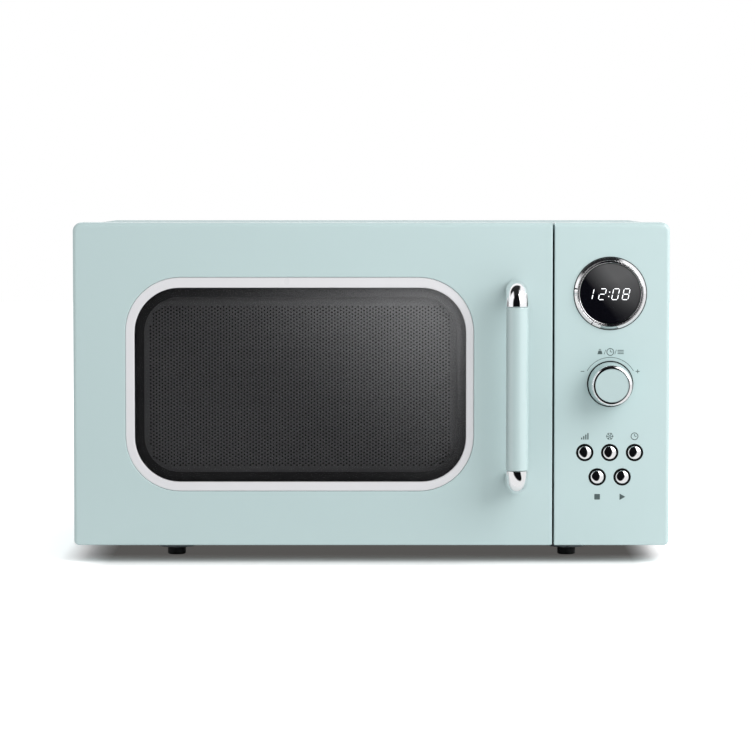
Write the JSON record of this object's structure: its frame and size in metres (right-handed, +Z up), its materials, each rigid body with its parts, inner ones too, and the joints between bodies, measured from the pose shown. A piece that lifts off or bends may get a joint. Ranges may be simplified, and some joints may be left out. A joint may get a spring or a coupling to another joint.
{
  "type": "microwave oven",
  "caption": "Countertop microwave oven with rounded mint front, side-hinged door with a bar handle, glass turntable, display, knob and push buttons.",
  "frame": {"origin": "on the worktop, under the middle of the oven's footprint including the handle", "axes": "+X to the right as seen from the front, +Y to the back, +Z up; the door faces -Y"},
  "size_m": [0.485, 0.412, 0.277],
  "materials": {
    "mint_paint": "gloss pastel mint enamel",
    "mint_plastic": "gloss pastel mint moulding",
    "white_trim": "satin off-white moulding",
    "chrome": "mirror polished",
    "black_glass": "gloss black display window",
    "tinted_glass": "tinted safety glass with a black printed border",
    "clear_glass": "clear pressed glass",
    "clear_film": "clear plastic film",
    "black_steel": "satin dark grey enamel",
    "black_plastic": "matt black moulding",
    "grey_enamel": "light grey enamel",
    "zinc_steel": "zinc-plated sheet steel",
    "aluminium": "plain pressed aluminium",
    "copper": "varnished copper winding",
    "brown_enamel": "dark varnished laminations",
    "mica": "mica sheet",
    "rubber": "black rubber",
    "white_nylon": "natural white nylon",
    "green_board": "green circuit board",
    "lamp_glass": "frosted lamp bulb in a pale holder"
  },
  "bodies": {
    "cabinet": {"cabinet_wrap": "mint_paint", "base_plate": "zinc_steel", "rear_panel": "zinc_steel", "front_frame": "grey_enamel", "cord_gland": "black_plastic", "foot_1": "rubber", "foot_2": "rubber", "foot_3": "rubber", "foot_4": "rubber", "hinge_upper": "zinc_steel", "hinge_lower": "zinc_steel", "oven_cavity": "grey_enamel", "waveguide_cover": "mica", "waveguide": "zinc_steel", "magnetron": "aluminium", "transformer_core": "brown_enamel", "transformer_windings": "copper", "capacitor": "aluminium", "capacitor_clamp": "zinc_steel", "fan_shroud": "black_plastic", "fan_motor": "brown_enamel", "oven_lamp": "lamp_glass", "switch_bracket": "black_plastic", "door_switch_1": "black_plastic", "door_switch_2": "black_plastic", "door_switch_3": "black_plastic", "turntable_motor": "zinc_steel", "control_panel": "mint_plastic", "display_bezel": "chrome", "display_lens": "black_glass", "display_module": "black_plastic", "control_board": "green_board", "encoder": "zinc_steel"},
    "door": {"door_shell": "mint_plastic", "window_trim": "white_trim", "door_window": "tinted_glass", "door_screen": "black_steel", "door_inner_frame": "black_steel", "choke_cover": "black_plastic", "door_film": "clear_film", "handle_bar": "mint_plastic", "handle_elbow_top": "chrome", "handle_elbow_bottom": "chrome"},
    "latch": {"latch_hooks": "black_plastic", "latch_spring": "zinc_steel"},
    "turntable": {"turntable_plate": "clear_glass", "drive_coupler": "white_nylon"},
    "ring": {"roller_ring": "white_nylon"},
    "roller_1": {"roller_1": "white_nylon"},
    "roller_2": {"roller_2": "white_nylon"},
    "roller_3": {"roller_3": "white_nylon"},
    "fan": {"fan_blade": "white_nylon"},
    "knob": {"knob_body": "mint_plastic", "knob_ring": "chrome", "knob_cap": "mint_plastic"},
    "button_1": {"button_1": "chrome"},
    "button_2": {"button_2": "chrome"},
    "button_3": {"button_3": "chrome"},
    "button_4": {"button_4": "chrome"},
    "button_5": {"button_5": "chrome"}
  },
  "joints": [
    {"name": "door_hinge", "type": "hinge", "parent": "cabinet", "child": "door", "pos_m": [-0.2315, -0.146, 0.1455], "axis": [0, 0, -1], "range_deg": [0, 100]},
    {"name": "latch_lift", "type": "slide", "parent": "door", "child": "latch", "axis": [0, 0, 1], "range_m": [0, 0.004], "stiffness_N_per_m": 300, "springref_m": -0.004, "deforming": ["latch_spring"]},
    {"name": "turntable_spin", "type": "hinge", "parent": "cabinet", "child": "turntable", "pos_m": [-0.046, 0.0306, 0.0576], "axis": [0, 0, 1], "continuous": true},
    {"name": "ring_spin", "type": "hinge", "parent": "cabinet", "child": "ring", "pos_m": [-0.046, 0.0306, 0.0503], "axis": [0, 0, 1], "continuous": true},
    {"name": "roller_1_spin", "type": "hinge", "parent": "ring", "child": "roller_1", "pos_m": [-0.046, 0.1284, 0.0503], "axis": [0, 1, 0], "continuous": true},
    {"name": "roller_2_spin", "type": "hinge", "parent": "ring", "child": "roller_2", "pos_m": [-0.1307, -0.0183, 0.0503], "axis": [-0.866, -0.5, 0], "continuous": true},
    {"name": "roller_3_spin", "type": "hinge", "parent": "ring", "child": "roller_3", "pos_m": [0.0387, -0.0183, 0.0503], "axis": [0.866, -0.5, 0], "continuous": true},
    {"name": "fan_spin", "type": "hinge", "parent": "cabinet", "child": "fan", "pos_m": [0.18, 0.168, 0.195], "axis": [0, 1, 0], "continuous": true},
    {"name": "knob_turn", "type": "hinge", "parent": "cabinet", "child": "knob", "pos_m": [0.1942, -0.175, 0.1458], "axis": [0, -1, 0], "continuous": true},
    {"name": "button_1_press", "type": "slide", "parent": "cabinet", "child": "button_1", "axis": [0, 1, 0], "range_m": [0, 0.0015], "stiffness_N_per_m": 600},
    {"name": "button_2_press", "type": "slide", "parent": "cabinet", "child": "button_2", "axis": [0, 1, 0], "range_m": [0, 0.0015], "stiffness_N_per_m": 600},
    {"name": "button_3_press", "type": "slide", "parent": "cabinet", "child": "button_3", "axis": [0, 1, 0], "range_m": [0, 0.0015], "stiffness_N_per_m": 600},
    {"name": "button_4_press", "type": "slide", "parent": "cabinet", "child": "button_4", "axis": [0, 1, 0], "range_m": [0, 0.0015], "stiffness_N_per_m": 600},
    {"name": "button_5_press", "type": "slide", "parent": "cabinet", "child": "button_5", "axis": [0, 1, 0], "range_m": [0, 0.0015], "stiffness_N_per_m": 600}
  ],
  "couplings": [
    {"joint": "ring_spin", "follows": "turntable_spin", "ratio": 0.5},
    {"joint": "roller_1_spin", "follows": "turntable_spin", "ratio": -6.9857},
    {"joint": "roller_2_spin", "follows": "turntable_spin", "ratio": -6.9857},
    {"joint": "roller_3_spin", "follows": "turntable_spin", "ratio": -6.9857}
  ]
}
